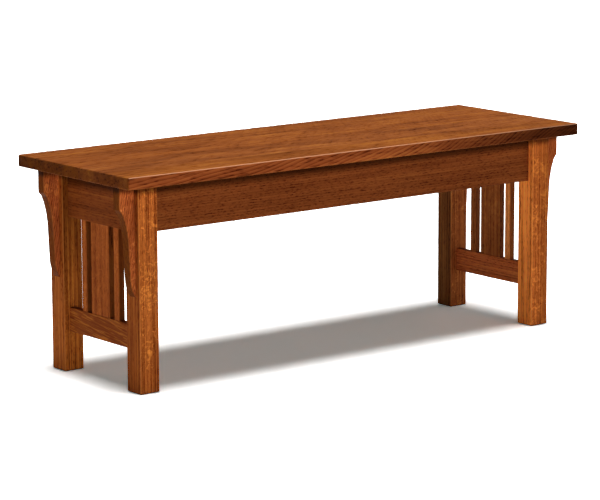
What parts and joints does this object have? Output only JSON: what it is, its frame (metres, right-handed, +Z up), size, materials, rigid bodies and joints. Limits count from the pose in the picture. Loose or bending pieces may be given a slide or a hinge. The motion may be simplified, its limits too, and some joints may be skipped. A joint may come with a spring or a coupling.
{
  "type": "backless mission bench",
  "caption": "Backless oak mission bench: a flat board seat on square legs, with deep aprons, slatted end frames and curved corbels under the seat's ends.",
  "frame": {"origin": "centre of the bench's footprint, on the floor", "axes": "+X along the bench to its right end as seen from the front, +Y to the rear, +Z up; the front faces -Y"},
  "size_m": [1.2192, 0.4064, 0.4572],
  "materials": {
    "seat_oak": "quarter-sawn oak, warm brown stain, satin lacquer",
    "frame_oak": "quarter-sawn oak, warm red-brown stain, satin lacquer",
    "block_wood": "planed oak, stained with one thin coat",
    "spline_beech": "plain beech",
    "screw_steel": "zinc plated",
    "clip_steel": "zinc plated sheet"
  },
  "bodies": {
    "root": {"seat_board_front": "seat_oak", "seat_board_mid_front": "seat_oak", "seat_board_mid_rear": "seat_oak", "seat_board_rear": "seat_oak", "leg_front_left": "frame_oak", "leg_front_right": "frame_oak", "leg_rear_left": "frame_oak", "leg_rear_right": "frame_oak", "apron_front": "frame_oak", "apron_rear": "frame_oak", "end_rail_upper_left": "frame_oak", "end_rail_lower_left": "frame_oak", "slat_left_front": "frame_oak", "slat_left_centre": "frame_oak", "slat_left_rear": "frame_oak", "end_rail_upper_right": "frame_oak", "end_rail_lower_right": "frame_oak", "slat_right_front": "frame_oak", "slat_right_centre": "frame_oak", "slat_right_rear": "frame_oak", "corbel_front_left": "frame_oak", "corbel_front_right": "frame_oak", "corbel_rear_left": "frame_oak", "corbel_rear_right": "frame_oak", "corner_block_front_left": "block_wood", "corner_block_front_right": "block_wood", "corner_block_rear_left": "block_wood", "corner_block_rear_right": "block_wood", "corbel_splines": "spline_beech", "corner_leg_screws": "screw_steel", "corner_seat_screws": "screw_steel", "seat_clip_screws": "screw_steel", "seat_clips": "clip_steel"}
  },
  "joints": []
}
